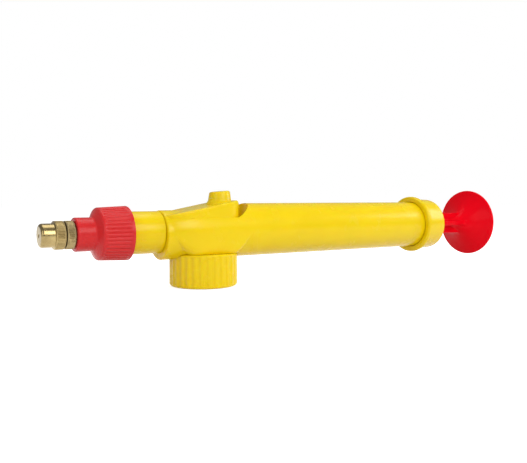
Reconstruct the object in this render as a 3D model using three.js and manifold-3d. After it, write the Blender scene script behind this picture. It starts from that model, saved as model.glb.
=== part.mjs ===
// Hand pump sprayer that screws onto a drinks bottle: millimetres, +Z up.
// The pump axis runs along X with the nozzle at -X and the handle at +X. Every size below is
// given from the axis of the bottle cap (X = 0) and from the mouth of the cap (Z = 0).
import * as THREE from 'three';
import { mergeVertices } from 'three/addons/utils/BufferGeometryUtils.js';
import Module from 'manifold-3d';

const wasm = await Module();
wasm.setup();

// ---- Clearances ----------------------------------------------------------------------------
const GAP = 0.3; // between parts that seat on, slide in or turn in each other
const SEAL_GAP = 0.1; // between a gasket and the faces that squeeze it
const FINE = 40; // facets of the large round parts
const COARSE = 20; // facets of the small round parts

// ---- Overall layout ------------------------------------------------------------------------
const AXIS_Z = 27.5; // pump axis above the mouth of the bottle cap
const NOZZLE_X = -80; // front of the nozzle
const HANDLE_X = 203; // back of the handle

// ---- Bottle cap and its seat ---------------------------------------------------------------
const CAP = { radius: 17, height: 16.5, topWall: 2.2, threadRoot: 13.9, threadCrest: 12.9, edge: 1.2 };
const THREAD_TURNS = [3.4, 6.6]; // heights of the two thread ridges
const NECK_RADIUS = 9.5; // spigot of the body that passes through the cap
const FLANGE = { radius: 12.4, thickness: 1.8 }; // flange of the seat that keeps the cap on
const BOTTLE_GASKET = { radius: 12.4, hole: 6, thickness: 1.6 };
const SEAT_PLUG_RADIUS = 6;
const DIP_TUBE_SOCKET = { radius: 3.6, depth: 8 };
const INLET_PASSAGE_RADIUS = 2.3;
const INLET_LAND = 0.8; // seat left above the dip tube socket
const INLET_BALL_RADIUS = 3.5;
const INLET_BALL_ROOM = 1.1; // water way around the ball
const INLET_LIFT = 1.8;

// ---- Body ----------------------------------------------------------------------------------
const BARREL_RADIUS = 13.75;
const BARREL_WALL = 2;
const NOSE = { full: -8, reach: 25.6, stations: [-21, -18.5, -16, -12, -8] }; // narrows as an ellipse
const NOSE_FRONT_X = -23.4;
// Skirt that joins the round body to the cap: X and depth below the pump axis, rear to front.
const SKIRT_REAR = [[20.3, 1], [19.3, 4.7], [16.5, 8.7], [13, 10.7]];
const SKIRT_FRONT = [[-11, 10.7], [-14.5, 9.6], [-17, 7.5], [-19.5, 4.5], [-21, 1.5]];
const BODY_REAR_X = 34.5;
const CHAMBER_X = 26.5; // floor of the barrel socket
const BODY_SOCKET_WALL = 0.9;
const COLLAR = { radius: 12, front: -24.4, rear: -8, drop: 1.5 }; // hangs a little below the pump axis
const WEDGE = { halfWidth: 12, roundX: 6.9 };
const WEDGE_NOSE = [[-24, 7.6], [-20.5, 9.9], [-15, 11.4], [-7, 12]]; // half widths, seen from above
const ROOF = { front: 8, knee: 15.4, kneeX: 15.5, rear: 12.9 }; // heights above the pump axis
const POCKET = { length: 15, halfWidth: 12.5, floor: 6.7 }; // oval gap between wedge and barrel
const VALVE_X = 9.5; // axis of the outlet valve and of the oval gap
const BOSS_RADIUS = 6.1; // raised seat of the valve plug
const PLUG = { radius: 5.5, top: 20.3, headHeight: 4, shank: 3.7, bore: 4, pocket: 2.8 };
const PLUG_SEAL_THICKNESS = 0.8;
const GALLERY = { radius: 2.2, aboveSeat: 6 };
const OUTLET_PASSAGE_RADIUS = 1.9;
const OUTLET_SEAT_RISE = 5; // outlet seat above the gallery's axis
const OUTLET_BALL_RADIUS = 2.75;
const OUTLET_LIFT = 1.2;
const SPRING = { radius: 2.1, wire: 0.35, length: 4.2, turns: 3 };
const CHANNEL = { radius: 1.8, dropAtFront: 1, riseAboveSeat: 5 };

// ---- Front: outlet tube, nut and nozzle ----------------------------------------------------
const TUBE = { radius: 10.15, thread: 9.6, spigot: 8.5, bore: 3, spigotEnd: -16 };
const NUT = { front: -54.7, rear: -40.4, frontRadius: 12.1, rearRadius: 12.75, wallX: -53.7 };
const NUT_NECK = { front: -65, rear: -57.2, radius: 7.7 };
const FRONT_GASKET_THICKNESS = 1.7;
const STEM = { shank: 4.9, shankEnd: -56.5, bore: 1.6, ringFront: -69.2, ringRadius: 6.35 };
const SPIGOT = { radius: 3, end: -73.8, needleRoot: 1.6, needleTip: 0.4, needleEnd: -77.3 };
const CROSS_HOLE = { radius: 0.5, x: -73.05 };
const TIP = { rear: -69.6, shoulder: -74, radius: 5.35, knurlRadius: 6.35, edge: 1, bore: 4 };
const TIP_CONE = { start: -75.2, startRadius: 2.4, end: -78.6, orifice: 0.8 };
const NOZZLE_RING = { x: -70.6, width: 0.8, squeeze: 0.15 };

// ---- Rear: barrel end, end cap, guide ------------------------------------------------------
const BARREL_REAR_X = 150;
const BARREL_SEAL_THICKNESS = 1;
const END_CAP = { front: 146, rear: 164, flangeWidth: 3 };
const END_CAP_REACH = { flange: 3.45, side: 1.95, sideRear: 1.45 }; // beyond the barrel's outside
const END_CAP_WALL = { rear: 2.2, side: 1.6, rounding: 3 };
const GUIDE = { spigotLength: 6, flange: 1.7, boss: 9 };

// ---- Plunger -------------------------------------------------------------------------------
const ROD_RADIUS = 6.65;
const ROD_BLADE = 2.6;
const PISTON = { front: 36, length: 11.5, clearance: 0.45, headPocket: 2.6, headRadius: 4.5 };
const PISTON_SEAL = { start: 3, width: 3, depth: 2, clearance: 0.15 };
const SCREW = { shank: 1.8, head: 4, length: 10 };
const HUB = { radius: 5.5, length: 14 };
const HANDLE = { rim: 21.3, rimWidth: 2.2, flareStart: 178, flarePower: 3.2 };

// ---- Places that follow from the sizes above -----------------------------------------------
const flangeTop = CAP.height - CAP.topWall - GAP;
const flangeBottom = flangeTop - FLANGE.thickness;
const inletSeatZ = flangeBottom + DIP_TUBE_SOCKET.depth + INLET_LAND;
const galleryZ = inletSeatZ + GALLERY.aboveSeat;
const outletSeatZ = galleryZ + OUTLET_SEAT_RISE;
const restOnRim = (ball, rim) => Math.sqrt(ball * ball - rim * rim) + GAP;
const inletBallZ = inletSeatZ + restOnRim(INLET_BALL_RADIUS, INLET_PASSAGE_RADIUS);
const outletBallZ = outletSeatZ + restOnRim(OUTLET_BALL_RADIUS, OUTLET_PASSAGE_RADIUS);
const springBottom = outletBallZ + OUTLET_BALL_RADIUS + GAP + SPRING.wire;
const springTop = springBottom + SPRING.length;
const plugHeadZ = AXIS_Z + PLUG.top - PLUG.headHeight;
const plugFlatZ = plugHeadZ - PLUG_SEAL_THICKNESS - 2 * SEAL_GAP;
const barrelBore = BARREL_RADIUS - BARREL_WALL;
const socketRadius = BARREL_RADIUS - BODY_SOCKET_WALL;
const wedgeEnd = WEDGE.roundX + WEDGE.halfWidth;
const flareEnd = HANDLE_X - HANDLE.rimWidth;
const pistonRear = PISTON.front + PISTON.length;
const tubeFront = NUT.wallX + FRONT_GASKET_THICKNESS + 2 * SEAL_GAP;
const rodBore = ROD_RADIUS + GAP;

// ---- Finishes ------------------------------------------------------------------------------
const finish = (color, roughness, metalness = 0) =>
  new THREE.MeshStandardMaterial({ color, roughness, metalness });
const yellow = finish(0xf4d01c, 0.25);
const red = finish(0xc92a30, 0.25);
const handleRed = finish(0xd00f1c, 0.22);
const brass = finish(0xb8a068, 0.35, 1);
const white = finish(0xe9e7df, 0.45);
const rubber = finish(0x1c1c1e, 0.8);
const steel = finish(0xb4b6b8, 0.25, 1);

// ---- Tools: closed geometry to solid and back ----------------------------------------------
function toSolid(geometry) {
  const bare = geometry.clone();
  bare.deleteAttribute('normal');
  bare.deleteAttribute('uv');
  const merged = mergeVertices(bare, 1e-4);
  const index = merged.index.array;
  const triangles = [];
  for (let i = 0; i < index.length; i += 3) {
    const [a, b, c] = [index[i], index[i + 1], index[i + 2]];
    if (a !== b && b !== c && c !== a) triangles.push(a, b, c);
  }
  const vertProperties = Float32Array.from(merged.attributes.position.array);
  const triVerts = Uint32Array.from(triangles);
  return new wasm.Manifold(new wasm.Mesh({ numProp: 3, vertProperties, triVerts }));
}

function toGeometry(solid) {
  const mesh = solid.getMesh();
  const geometry = new THREE.BufferGeometry();
  geometry.setAttribute('position', new THREE.BufferAttribute(Float32Array.from(mesh.vertProperties), 3));
  geometry.setIndex(new THREE.BufferAttribute(Uint32Array.from(mesh.triVerts), 1));
  geometry.computeVertexNormals();
  return geometry;
}

// A profile of [radius, height] points, anticlockwise, turned about its axis.
function turned(profile, facets) {
  return new THREE.LatheGeometry(profile.map(([r, h]) => new THREE.Vector2(r, h)), facets);
}

const turnedZ = (profile, facets, x = 0) =>
  toSolid(turned(profile, facets).rotateX(Math.PI / 2).translate(x, 0, 0));
const turnedX = (profile, facets) =>
  toSolid(turned(profile, facets).rotateZ(-Math.PI / 2).translate(0, 0, AXIS_Z));

const rod = (radius, start, end) => [[0, start], [radius, start], [radius, end], [0, end]];
const ring = (inner, outer, start, end) =>
  [[inner, start], [outer, start], [outer, end], [inner, end], [inner, start]];

// Quarter circle about (centre r, centre h) from one angle to another, in degrees.
function arc(centreR, centreH, radius, from, to, steps = 6) {
  return Array.from({ length: steps + 1 }, (_, i) => {
    const angle = THREE.MathUtils.degToRad(from + ((to - from) * i) / steps);
    return [centreR + radius * Math.cos(angle), centreH + radius * Math.sin(angle)];
  });
}

// Round bar between two points.
function bar(from, to, radius, facets = COARSE) {
  const [a, b] = [new THREE.Vector3(...from), new THREE.Vector3(...to)];
  const along = b.clone().sub(a);
  const turn = new THREE.Quaternion().setFromUnitVectors(
    new THREE.Vector3(0, 1, 0), along.clone().normalize());
  const middle = a.clone().add(b).multiplyScalar(0.5);
  return toSolid(new THREE.CylinderGeometry(radius, radius, along.length(), facets)
    .applyQuaternion(turn).translate(middle.x, middle.y, middle.z));
}

function box(min, max) {
  const size = max.map((value, i) => value - min[i]);
  const middle = max.map((value, i) => (value + min[i]) / 2);
  return toSolid(new THREE.BoxGeometry(...size).translate(...middle));
}

const model = new THREE.Group();
model.name = 'pump_sprayer';
model.position.x = -(NOZZLE_X + HANDLE_X) / 2; // the origin is under the middle of the length

function addPart(name, solid, material) {
  const mesh = new THREE.Mesh(toGeometry(solid), material);
  mesh.name = name;
  model.add(mesh);
}

// ---- Body: valve housing with the wedge that carries the outlet channel --------------------
function wedge() {
  const { halfWidth, roundX } = WEDGE;
  const plan = new THREE.Shape();
  WEDGE_NOSE.forEach(([x, y], i) => (i ? plan.lineTo(x, -y) : plan.moveTo(x, -y)));
  plan.lineTo(roundX, -halfWidth);
  plan.absarc(roundX, 0, halfWidth, -Math.PI / 2, Math.PI / 2);
  [...WEDGE_NOSE].reverse().forEach(([x, y]) => plan.lineTo(x, y));
  plan.closePath();
  const planBody = new THREE.ExtrudeGeometry(plan, { depth: 2 * ROOF.knee, bevelEnabled: false });
  const side = new THREE.Shape();
  side.moveTo(COLLAR.front, AXIS_Z);
  side.lineTo(wedgeEnd, AXIS_Z);
  side.lineTo(wedgeEnd, AXIS_Z + ROOF.rear);
  side.lineTo(ROOF.kneeX, AXIS_Z + ROOF.knee);
  side.lineTo(COLLAR.front, AXIS_Z + ROOF.front);
  side.closePath();
  const sideBody = new THREE.ExtrudeGeometry(side, { depth: 4 * halfWidth, bevelEnabled: false });
  return toSolid(planBody.translate(0, 0, AXIS_Z))
    .intersect(toSolid(sideBody.rotateX(Math.PI / 2).translate(0, 2 * halfWidth, 0)));
}

// Radius of the body at X: full size from NOSE.full on, and an ellipse's quarter in front of it.
function noseRadius(x) {
  const share = Math.max(NOSE.full - x, 0) / NOSE.reach;
  return BARREL_RADIUS * Math.sqrt(1 - share * share);
}

function skirt() {
  const side = new THREE.Shape();
  side.moveTo(SKIRT_REAR[0][0], AXIS_Z);
  [...SKIRT_REAR, ...SKIRT_FRONT].forEach(([x, depth]) => side.lineTo(x, AXIS_Z - depth));
  side.lineTo(SKIRT_FRONT.at(-1)[0], AXIS_Z);
  side.closePath();
  const plan = new THREE.Shape();
  const stations = [...NOSE.stations, SKIRT_REAR[0][0]];
  stations.forEach((x, i) => (i ? plan.lineTo(x, -noseRadius(x)) : plan.moveTo(x, -noseRadius(x))));
  [...stations].reverse().forEach((x) => plan.lineTo(x, noseRadius(x)));
  plan.closePath();
  const depth = 4 * BARREL_RADIUS;
  const sideBody = new THREE.ExtrudeGeometry(side, { depth, bevelEnabled: false });
  const planBody = new THREE.ExtrudeGeometry(plan, { depth: AXIS_Z, bevelEnabled: false });
  return toSolid(planBody).intersect(toSolid(sideBody.rotateX(Math.PI / 2).translate(0, depth / 2, 0)));
}

function topCut() {
  const { length, halfWidth, floor } = POCKET;
  const plan = new THREE.Shape();
  plan.moveTo(COLLAR.front, -halfWidth);
  plan.lineTo(VALVE_X, -halfWidth);
  plan.absellipse(VALVE_X, 0, length, halfWidth, -Math.PI / 2, Math.PI / 2);
  plan.lineTo(COLLAR.front, halfWidth);
  plan.closePath();
  const body = new THREE.ExtrudeGeometry(plan, { depth: BARREL_RADIUS, bevelEnabled: false });
  return toSolid(body.translate(0, 0, AXIS_Z + floor));
}

function pumpBody() {
  const bodyFace = CAP.height + GAP;
  const shell = turnedX([
    [0, NOSE_FRONT_X], ...[NOSE_FRONT_X, ...NOSE.stations].map((x) => [noseRadius(x), x]),
    [BARREL_RADIUS, BODY_REAR_X], [0, BODY_REAR_X],
  ], FINE);
  const collar = turnedX(rod(COLLAR.radius, COLLAR.front, COLLAR.rear), FINE).translate([0, 0, -COLLAR.drop]);
  const boss = turnedZ(rod(BOSS_RADIUS, AXIS_Z, plugFlatZ), COARSE, VALVE_X);
  const capRecess = turnedZ(rod(CAP.radius + GAP, -GAP, bodyFace), FINE);
  const neck = turnedZ(rod(NECK_RADIUS, flangeTop + GAP, inletSeatZ), FINE);
  const inletRoof = inletBallZ + INLET_BALL_RADIUS + INLET_LIFT + GAP;
  const valveSide = outletSeatZ + CHANNEL.riseAboveSeat;
  const tubeSocketEnd = TUBE.spigotEnd + GAP;
  const channelEnd = [tubeSocketEnd - GAP, 0, AXIS_Z + CHANNEL.dropAtFront];
  return shell.subtract(topCut()).add(skirt()).add(collar).add(wedge()).add(boss)
    .subtract(capRecess).add(neck)
    .subtract(turnedZ(rod(SEAT_PLUG_RADIUS + GAP, flangeTop, inletSeatZ + GAP), COARSE))
    .subtract(turnedZ(rod(INLET_BALL_RADIUS + INLET_BALL_ROOM, inletSeatZ, inletRoof), COARSE))
    .subtract(bar([0, 0, galleryZ], [CHAMBER_X + GAP, 0, galleryZ], GALLERY.radius))
    .subtract(turnedZ(rod(OUTLET_PASSAGE_RADIUS, galleryZ, outletSeatZ + GAP), COARSE, VALVE_X))
    .subtract(turnedZ(rod(PLUG.bore, outletSeatZ, plugHeadZ), COARSE, VALVE_X))
    .subtract(turnedZ(rod(PLUG.radius + GAP, plugFlatZ, AXIS_Z + PLUG.top), COARSE, VALVE_X))
    .subtract(bar([VALVE_X, 0, valveSide], channelEnd, CHANNEL.radius))
    .subtract(turnedX(rod(TUBE.spigot + GAP, COLLAR.front - GAP, tubeSocketEnd), FINE))
    .subtract(turnedX(rod(socketRadius, CHAMBER_X, BODY_REAR_X + GAP), FINE));
}

function barrel() {
  const front = CHAMBER_X + BARREL_SEAL_THICKNESS + 2 * SEAL_GAP;
  const shoulder = BODY_REAR_X + GAP;
  const spigot = socketRadius - GAP;
  return turnedX([
    [barrelBore, front], [spigot, front], [spigot, shoulder], [BARREL_RADIUS, shoulder],
    [BARREL_RADIUS, BARREL_REAR_X], [barrelBore, BARREL_REAR_X], [barrelBore, front],
  ], FINE);
}

const barrelSeal = () => turnedX(ring(barrelBore, socketRadius - GAP, CHAMBER_X + SEAL_GAP,
  CHAMBER_X + SEAL_GAP + BARREL_SEAL_THICKNESS), FINE);

// ---- Bottle connection ---------------------------------------------------------------------
function bottleCap() {
  const { radius, height, topWall, threadRoot, threadCrest, edge } = CAP;
  const ridge = threadRoot - threadCrest;
  const ridges = [...THREAD_TURNS].reverse().flatMap((z) =>
    [[threadRoot, z + ridge], [threadCrest, z], [threadRoot, z - ridge]]);
  return turnedZ([
    [threadRoot, 0], ...arc(radius - edge, edge, edge, -90, 0, 3),
    [radius, height - edge / 2], [radius - edge / 2, height], [NECK_RADIUS + GAP, height],
    [NECK_RADIUS + GAP, height - topWall], [threadRoot, height - topWall], ...ridges, [threadRoot, 0],
  ], FINE);
}

function inletSeat() {
  const socketTop = flangeBottom + DIP_TUBE_SOCKET.depth;
  return turnedZ([
    [DIP_TUBE_SOCKET.radius, flangeBottom], [FLANGE.radius, flangeBottom], [FLANGE.radius, flangeTop],
    [SEAT_PLUG_RADIUS, flangeTop], [SEAT_PLUG_RADIUS, inletSeatZ], [INLET_PASSAGE_RADIUS, inletSeatZ],
    [INLET_PASSAGE_RADIUS, socketTop], [DIP_TUBE_SOCKET.radius, socketTop],
    [DIP_TUBE_SOCKET.radius, flangeBottom],
  ], COARSE);
}

function bottleGasket() {
  const top = flangeBottom - SEAL_GAP;
  return turnedZ(ring(BOTTLE_GASKET.hole, BOTTLE_GASKET.radius, top - BOTTLE_GASKET.thickness, top), FINE);
}

function ball(radius, x, z) {
  return toSolid(new THREE.SphereGeometry(radius, 14, 9).translate(x, 0, z));
}

// ---- Outlet valve --------------------------------------------------------------------------
function valvePlug() {
  const pocketEnd = springTop + SPRING.wire + SEAL_GAP;
  const sleeve = outletBallZ + OUTLET_BALL_RADIUS + OUTLET_LIFT + GAP;
  const top = AXIS_Z + PLUG.top;
  const edge = 0.9;
  return turnedZ([
    [0, pocketEnd], [PLUG.pocket, pocketEnd], [PLUG.pocket, sleeve],
    [PLUG.shank, sleeve], [PLUG.shank, plugHeadZ], [PLUG.radius, plugHeadZ],
    ...arc(PLUG.radius - edge, top - edge, edge, 0, 90, 3), [0, top],
  ], COARSE, VALVE_X);
}

const valvePlugSeal = () => turnedZ(ring(PLUG.shank + GAP / 2, PLUG.radius - GAP,
  plugFlatZ + SEAL_GAP, plugFlatZ + SEAL_GAP + PLUG_SEAL_THICKNESS), COARSE, VALVE_X);

function outletSpring() {
  const steps = 10 * SPRING.turns;
  const points = Array.from({ length: steps + 1 }, (_, i) => {
    const angle = (2 * Math.PI * SPRING.turns * i) / steps;
    const z = springBottom + (SPRING.length * i) / steps;
    return new THREE.Vector3(
      VALVE_X + SPRING.radius * Math.cos(angle), SPRING.radius * Math.sin(angle), z);
  });
  const wire = new THREE.Shape();
  wire.absarc(0, 0, SPRING.wire, 0, 2 * Math.PI);
  return toSolid(new THREE.ExtrudeGeometry(wire, {
    extrudePath: new THREE.CatmullRomCurve3(points), steps, curveSegments: 3, bevelEnabled: false,
  }));
}

// ---- Front end -----------------------------------------------------------------------------
function outletTube() {
  const shoulder = NUT.rear + GAP;
  return turnedX([
    [TUBE.bore, tubeFront], [TUBE.thread, tubeFront], [TUBE.thread, shoulder],
    [TUBE.radius, shoulder], [TUBE.radius, COLLAR.front - GAP], [TUBE.spigot, COLLAR.front - GAP],
    [TUBE.spigot, TUBE.spigotEnd], [TUBE.bore, TUBE.spigotEnd], [TUBE.bore, tubeFront],
  ], FINE);
}

function frontNut() {
  const neckBore = STEM.shank + GAP;
  const cavity = TUBE.thread + GAP;
  return turnedX([
    [neckBore, NUT_NECK.front], [NUT_NECK.radius, NUT_NECK.front], [NUT_NECK.radius, NUT_NECK.rear],
    [NUT.frontRadius, NUT.front], [NUT.rearRadius, NUT.rear], [cavity, NUT.rear],
    [cavity, NUT.wallX], [neckBore, NUT.wallX], [neckBore, NUT_NECK.front],
  ], FINE);
}

const frontGasket = () => turnedX(ring(TUBE.bore + GAP, TUBE.thread, NUT.wallX + SEAL_GAP,
  NUT.wallX + SEAL_GAP + FRONT_GASKET_THICKNESS), COARSE);

function nozzleStem() {
  const shankFront = NUT_NECK.front - GAP;
  const bodyOfStem = turnedX([
    [0, SPIGOT.needleEnd], [SPIGOT.needleTip, SPIGOT.needleEnd], [SPIGOT.needleRoot, SPIGOT.end],
    [SPIGOT.radius, SPIGOT.end], [SPIGOT.radius, STEM.ringFront], [STEM.ringRadius, STEM.ringFront],
    [STEM.ringRadius, shankFront], [STEM.shank, shankFront], [STEM.shank, STEM.shankEnd],
    [0, STEM.shankEnd],
  ], COARSE);
  const waterWay = turnedX(rod(STEM.bore, CROSS_HOLE.x, STEM.shankEnd + GAP), COARSE);
  const reach = SPIGOT.radius + GAP;
  const cross = bar([CROSS_HOLE.x, -reach, AXIS_Z], [CROSS_HOLE.x, reach, AXIS_Z], CROSS_HOLE.radius, 12);
  return bodyOfStem.subtract(waterWay).subtract(cross);
}

function nozzleTip() {
  return turnedX([
    [TIP_CONE.orifice, NOZZLE_X],
    ...arc(TIP.radius - TIP.edge, NOZZLE_X + TIP.edge, TIP.edge, -90, 0, 3),
    [TIP.radius, TIP.shoulder], [TIP.knurlRadius, TIP.shoulder], [TIP.knurlRadius, TIP.rear],
    [TIP.bore, TIP.rear], [TIP.bore, TIP_CONE.start], [TIP_CONE.startRadius, TIP_CONE.start],
    [TIP_CONE.orifice, TIP_CONE.end], [TIP_CONE.orifice, NOZZLE_X],
  ], COARSE);
}

const nozzleRing = () => turnedX(ring(SPIGOT.radius + NOZZLE_RING.squeeze,
  TIP.bore - NOZZLE_RING.squeeze, NOZZLE_RING.x, NOZZLE_RING.x + NOZZLE_RING.width), COARSE);

// ---- Rear end ------------------------------------------------------------------------------
const guideFlangeX = BARREL_REAR_X + SEAL_GAP;
const guideFlangeEnd = guideFlangeX + GUIDE.flange;
const capCavity = BARREL_RADIUS + GAP;

function endCap() {
  const { front, rear, flangeWidth } = END_CAP;
  const flange = BARREL_RADIUS + END_CAP_REACH.flange;
  const side = BARREL_RADIUS + END_CAP_REACH.side;
  const sideRear = BARREL_RADIUS + END_CAP_REACH.sideRear;
  const { rounding } = END_CAP_WALL;
  const coreRadius = sideRear - END_CAP_WALL.side - GAP;
  return turnedX([
    [capCavity, front], [flange - GAP, front], [flange, front + GAP], [flange, front + flangeWidth - GAP],
    [flange - GAP, front + flangeWidth], [side, front + flangeWidth],
    ...arc(sideRear - rounding, rear - rounding, rounding, 0, 90, 5),
    [rodBore + GAP, rear], [rodBore + GAP, rear - END_CAP_WALL.rear],
    [coreRadius, rear - END_CAP_WALL.rear], [coreRadius, guideFlangeEnd + GAP],
    [capCavity, guideFlangeEnd + GAP], [capCavity, front],
  ], FINE);
}

function rodGuide() {
  const spigot = barrelBore - GAP;
  const bossEnd = END_CAP.rear - END_CAP_WALL.rear - GAP;
  return turnedX([
    [rodBore, BARREL_REAR_X - GUIDE.spigotLength], [spigot, BARREL_REAR_X - GUIDE.spigotLength],
    [spigot, guideFlangeX], [BARREL_RADIUS, guideFlangeX], [BARREL_RADIUS, guideFlangeEnd],
    [GUIDE.boss, guideFlangeEnd], [GUIDE.boss, bossEnd], [rodBore, bossEnd],
    [rodBore, BARREL_REAR_X - GUIDE.spigotLength],
  ], FINE);
}

// ---- Plunger: cross-shaped rod that flares into the round handle ---------------------------
function plungerRod() {
  const hubFront = pistonRear + GAP;
  const steps = 12;
  const flare = Array.from({ length: steps + 1 }, (_, i) => {
    const t = i / steps;
    const radius = ROD_RADIUS + (HANDLE.rim - ROD_RADIUS) * t ** HANDLE.flarePower;
    return [radius, HANDLE.flareStart + (flareEnd - HANDLE.flareStart) * t];
  });
  const handle = turnedX([
    [0, HANDLE.flareStart], ...flare, [HANDLE.rim, HANDLE_X - GAP], [HANDLE.rim - GAP, HANDLE_X],
    [0, HANDLE_X],
  ], FINE);
  const half = ROD_BLADE / 2;
  const bladeStart = hubFront + HUB.length - SCREW.shank;
  const reach = Math.sqrt(ROD_RADIUS * ROD_RADIUS - half * half);
  const flat = box([bladeStart, -reach, AXIS_Z - half], [HANDLE.flareStart + half, reach, AXIS_Z + half]);
  const upright = box([bladeStart, -half, AXIS_Z - reach], [HANDLE.flareStart + half, half, AXIS_Z + reach]);
  const pilot = turnedX(rod(SCREW.shank + GAP, hubFront - GAP, pistonRear + SCREW.length), COARSE);
  return turnedX(rod(HUB.radius, hubFront, hubFront + HUB.length), COARSE)
    .add(flat).add(upright).add(handle).subtract(pilot);
}

function piston() {
  const radius = barrelBore - PISTON.clearance;
  const grooveStart = PISTON.front + PISTON_SEAL.start - SEAL_GAP;
  const grooveEnd = PISTON.front + PISTON_SEAL.start + PISTON_SEAL.width + SEAL_GAP;
  const grooveRadius = radius - PISTON_SEAL.depth;
  const screwHole = SCREW.shank + GAP;
  return turnedX([
    [screwHole, PISTON.front + PISTON.headPocket], [PISTON.headRadius, PISTON.front + PISTON.headPocket],
    [PISTON.headRadius, PISTON.front], [radius, PISTON.front], [radius, grooveStart],
    [grooveRadius, grooveStart], [grooveRadius, grooveEnd], [radius, grooveEnd],
    [radius, pistonRear], [screwHole, pistonRear], [screwHole, PISTON.front + PISTON.headPocket],
  ], FINE);
}

function pistonSeal() {
  const start = PISTON.front + PISTON_SEAL.start;
  const inner = barrelBore - PISTON.clearance - PISTON_SEAL.depth + SEAL_GAP;
  return turnedX(ring(inner, barrelBore - PISTON_SEAL.clearance, start, start + PISTON_SEAL.width), FINE);
}

function pistonScrew() {
  const headBack = PISTON.front + PISTON.headPocket - SEAL_GAP;
  return turnedX([
    [0, PISTON.front + GAP], [SCREW.head, PISTON.front + GAP], [SCREW.head, headBack],
    [SCREW.shank, headBack], [SCREW.shank, pistonRear + SCREW.length - GAP],
    [0, pistonRear + SCREW.length - GAP],
  ], COARSE);
}

addPart('pump_body', pumpBody(), yellow);
addPart('barrel', barrel(), yellow);
addPart('barrel_seal', barrelSeal(), rubber);
addPart('bottle_cap', bottleCap(), yellow);
addPart('inlet_seat', inletSeat(), white);
addPart('bottle_gasket', bottleGasket(), rubber);
addPart('inlet_ball', ball(INLET_BALL_RADIUS, 0, inletBallZ), steel);
addPart('outlet_ball', ball(OUTLET_BALL_RADIUS, VALVE_X, outletBallZ), steel);
addPart('outlet_spring', outletSpring(), steel);
addPart('valve_plug', valvePlug(), yellow);
addPart('valve_plug_seal', valvePlugSeal(), rubber);
addPart('outlet_tube', outletTube(), yellow);
addPart('front_nut', frontNut(), red);
addPart('front_gasket', frontGasket(), rubber);
addPart('nozzle_stem', nozzleStem(), brass);
addPart('nozzle_tip', nozzleTip(), brass);
addPart('nozzle_o_ring', nozzleRing(), rubber);
addPart('end_cap', endCap(), yellow);
addPart('rod_guide', rodGuide(), white);
addPart('plunger_rod', plungerRod(), handleRed);
addPart('piston', piston(), white);
addPart('piston_seal', pistonSeal(), rubber);
addPart('piston_screw', pistonScrew(), steel);

export default model;
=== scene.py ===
"""Looks of a hand pump sprayer for a drinks bottle, built around its fixed frame.

Every size is in millimetres. Lengths run along X from the axis of the bottle cap and heights run
along Z from the mouth of the cap, so a place on the pump is easy to read. polar_surface turns
them into metres in the frame's own coordinates.
"""

import logging
import math
from dataclasses import dataclass
from enum import Enum
from typing import Sequence

import bmesh
import bpy
import numpy as np
from mathutils import Matrix, Vector


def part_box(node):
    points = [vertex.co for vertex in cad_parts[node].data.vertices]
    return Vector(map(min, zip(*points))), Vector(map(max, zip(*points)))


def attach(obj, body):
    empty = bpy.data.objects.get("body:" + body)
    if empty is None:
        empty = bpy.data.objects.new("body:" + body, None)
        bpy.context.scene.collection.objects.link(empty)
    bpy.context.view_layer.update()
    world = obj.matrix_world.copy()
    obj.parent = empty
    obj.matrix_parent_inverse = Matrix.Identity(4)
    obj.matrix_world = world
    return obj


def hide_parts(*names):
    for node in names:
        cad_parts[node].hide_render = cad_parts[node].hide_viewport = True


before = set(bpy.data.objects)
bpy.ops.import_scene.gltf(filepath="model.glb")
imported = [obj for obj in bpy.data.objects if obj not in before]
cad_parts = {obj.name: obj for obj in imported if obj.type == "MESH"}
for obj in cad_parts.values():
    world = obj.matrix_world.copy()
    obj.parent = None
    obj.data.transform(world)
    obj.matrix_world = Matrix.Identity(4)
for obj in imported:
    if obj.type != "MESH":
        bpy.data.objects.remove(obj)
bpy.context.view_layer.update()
LOG = logging.getLogger("pump_sprayer")
MM = 0.001
MERGE_DISTANCE = 1e-7  # metres, below which two vertices are one
NOISE_SPAN = (0.3, 0.7)  # where nearly all of a noise's values lie
KNURL_LENGTH = 4.4  # of the turning tip, in millimetres from its shoulder to its rear end
Corner = tuple[float, float, float]


class Axis(Enum):
    """The line that a turned piece is round."""

    PUMP = "pump"
    CAP = "cap"
    VALVE = "valve"


@dataclass(frozen=True)
class Layout:
    """Places that come from the frame: the cap's axis, the pump's axis and the outlet valve's."""

    cap_x: float
    axis_z: float
    valve_x: float

    @classmethod
    def from_frame(cls) -> "Layout":
        """Reads the three axes from the boxes of the parts that are round about them.

        Returns:
            The layout: cap_x in metres, the rest in millimetres from the cap's axis and mouth.
        """
        cap_low, cap_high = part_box("bottle_cap")
        barrel_low, barrel_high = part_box("barrel")
        plug_low, plug_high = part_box("valve_plug")
        cap_x = (cap_low.x + cap_high.x) / 2
        axis_z = (barrel_low.z + barrel_high.z) / 2 / MM
        return cls(cap_x, axis_z, ((plug_low.x + plug_high.x) / 2 - cap_x) / MM)

    def span(self, node: str) -> tuple[float, float]:
        """Where a node starts and ends along the pump.

        Args:
            node: name of the node.

        Returns:
            Its front and rear in millimetres from the cap's axis.
        """
        low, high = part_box(node)
        return (low.x - self.cap_x) / MM, (high.x - self.cap_x) / MM

    def rise(self, node: str) -> tuple[float, float]:
        """Bottom and top of a node, in millimetres above the cap's mouth.

        Args:
            node: name of the node.

        Returns:
            Its lowest and highest point.
        """
        low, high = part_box(node)
        return low.z / MM, high.z / MM


LAYOUT = Layout.from_frame()


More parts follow.
